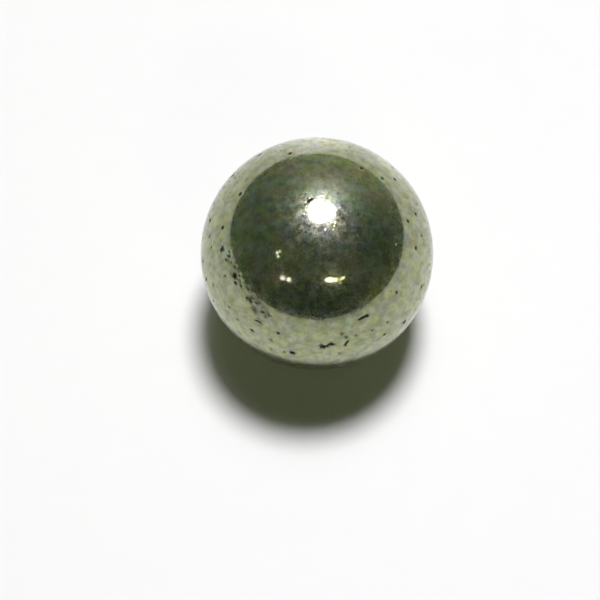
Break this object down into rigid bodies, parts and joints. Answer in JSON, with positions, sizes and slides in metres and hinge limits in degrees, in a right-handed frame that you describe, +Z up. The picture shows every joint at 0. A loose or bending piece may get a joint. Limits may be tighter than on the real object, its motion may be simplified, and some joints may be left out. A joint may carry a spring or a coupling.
{
  "type": "steel ball",
  "caption": "Solid round polished steel ball with small corrosion pits, nicks and a scuffed band on its upper side.",
  "frame": {"origin": "centre of the ball", "axes": "+Z up through the upper side, which carries the marks of wear; -Y is the front, where most of the marks are; the ball is round about every axis"},
  "size_m": [0.01, 0.01, 0.01],
  "materials": {
    "steel": "polished bare steel, dulled by wear, with dark pits and fine scratches"
  },
  "bodies": {
    "root": {"ball": "steel"}
  },
  "joints": []
}
